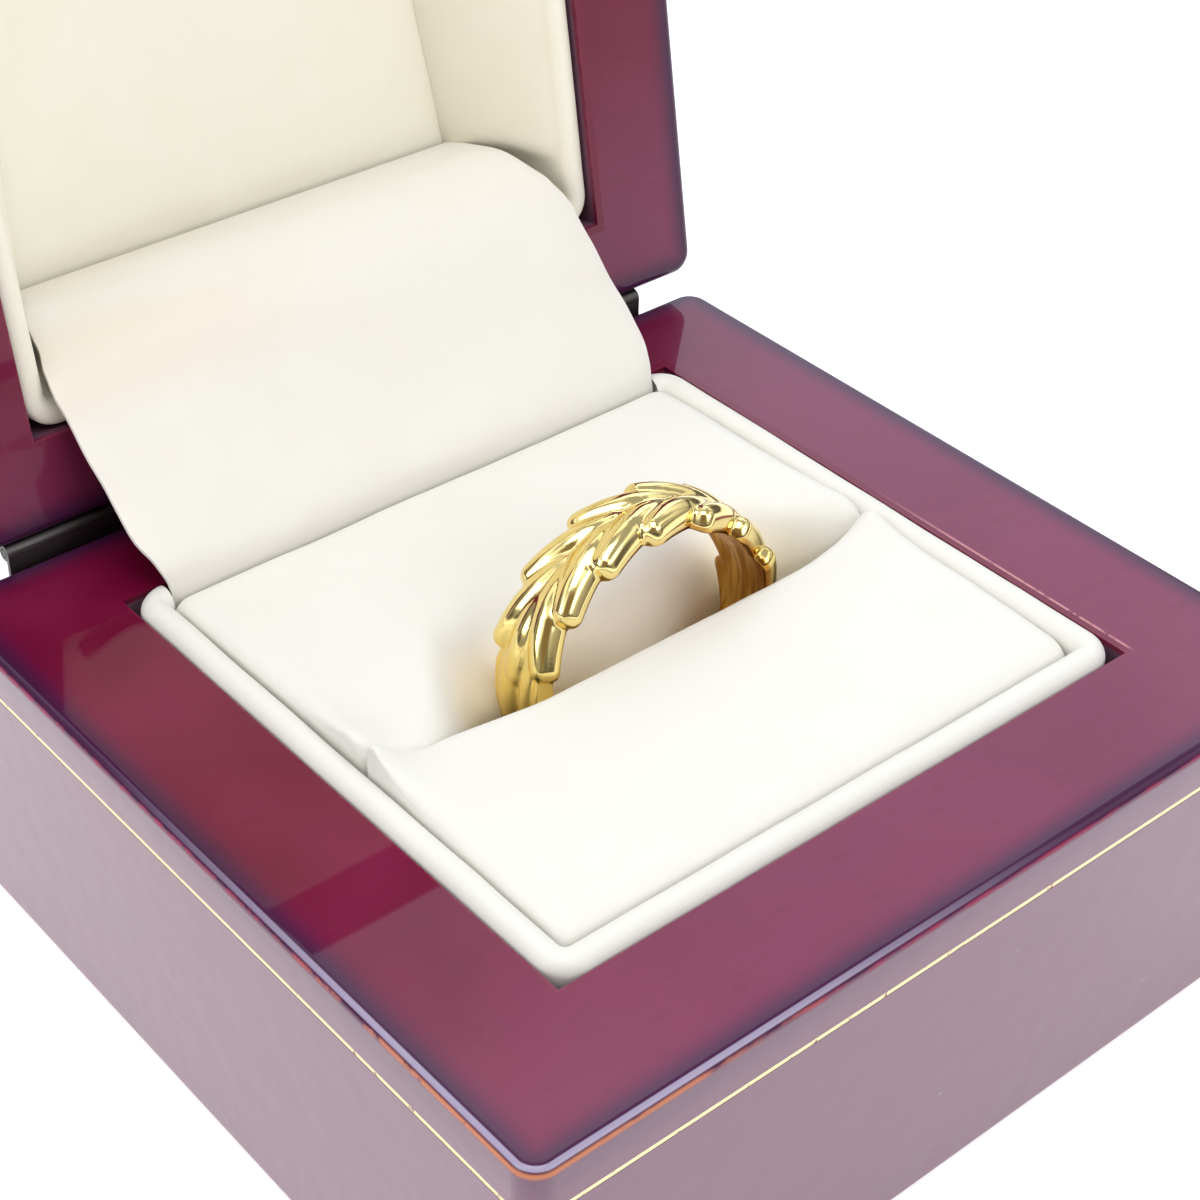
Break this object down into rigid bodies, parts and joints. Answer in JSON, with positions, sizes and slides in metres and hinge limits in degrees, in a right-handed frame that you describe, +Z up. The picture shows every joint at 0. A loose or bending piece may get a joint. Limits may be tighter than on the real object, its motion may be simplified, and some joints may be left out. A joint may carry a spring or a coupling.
{
  "type": "leaf ring in a hinged ring box",
  "caption": "Gold finger ring with rows of overlapping leaves, held upright in the slot of an open, padded, lacquered box with a hinged lid.",
  "frame": {"origin": "centre of the box's underside", "axes": "+X along the hinge, to the right seen from the front; -Y towards the front of the box; +Z up"},
  "size_m": [0.06, 0.0855, 0.0784],
  "materials": {
    "gold": "polished gold",
    "lacquered_wood": "high-gloss burgundy lacquer",
    "gold_inlay": "thin inlaid metal line",
    "cream_leatherette": "smooth matt cream leatherette",
    "foam": "soft foam",
    "dark_steel": "blackened steel"
  },
  "bodies": {
    "base": {"leaf_ring": "gold", "base_box": "lacquered_wood", "gold_line": "gold_inlay", "base_lining": "cream_leatherette", "foam_bed": "foam", "front_pad": "cream_leatherette", "rear_pad": "cream_leatherette", "base_hinge": "dark_steel", "hinge_pin": "dark_steel", "hinge_flap": "cream_leatherette"},
    "lid": {"lid_box": "lacquered_wood", "lid_lining": "cream_leatherette", "lid_panel": "cream_leatherette", "lid_hinge": "dark_steel"}
  },
  "joints": [
    {"name": "lid_hinge_joint", "type": "hinge", "parent": "base", "child": "lid", "pos_m": [0, 0.02862, 0.02265], "axis": [1, 0, 0], "range_deg": [0, 100.3], "deforming": ["hinge_flap"]}
  ]
}
